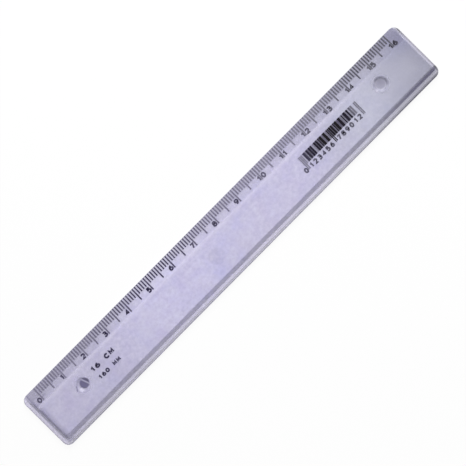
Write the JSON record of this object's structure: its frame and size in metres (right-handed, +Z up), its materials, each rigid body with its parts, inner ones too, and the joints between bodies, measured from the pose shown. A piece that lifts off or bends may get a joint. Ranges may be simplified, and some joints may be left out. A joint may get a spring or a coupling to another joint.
{
  "type": "straight ruler",
  "caption": "Clear plastic pocket ruler with a bevelled centimetre scale stamped in dark foil, rounded corners and a stepped plain edge.",
  "frame": {"origin": "on the flat underside, under the middle of the blade", "axes": "+X along the scale from 0 to 16, +Y across the blade to the scale edge, +Z up out of the printed face"},
  "size_m": [0.171, 0.0216, 0.0023],
  "materials": {
    "clear_plastic": "clear polystyrene with a faint violet tint, glossy, lightly scuffed",
    "dark_foil": "hot-stamped dark foil, semi-matt"
  },
  "bodies": {
    "root": {"blade": "clear_plastic", "centimetre_marks_00": "dark_foil", "centimetre_marks_01": "dark_foil", "centimetre_marks_02": "dark_foil", "centimetre_marks_03": "dark_foil", "centimetre_marks_04": "dark_foil", "centimetre_marks_05": "dark_foil", "centimetre_marks_06": "dark_foil", "centimetre_marks_07": "dark_foil", "centimetre_marks_08": "dark_foil", "centimetre_marks_09": "dark_foil", "centimetre_marks_10": "dark_foil", "centimetre_marks_11": "dark_foil", "centimetre_marks_12": "dark_foil", "centimetre_marks_13": "dark_foil", "centimetre_marks_14": "dark_foil", "centimetre_marks_15": "dark_foil", "centimetre_marks_16": "dark_foil", "bars": "dark_foil"}
  },
  "joints": []
}
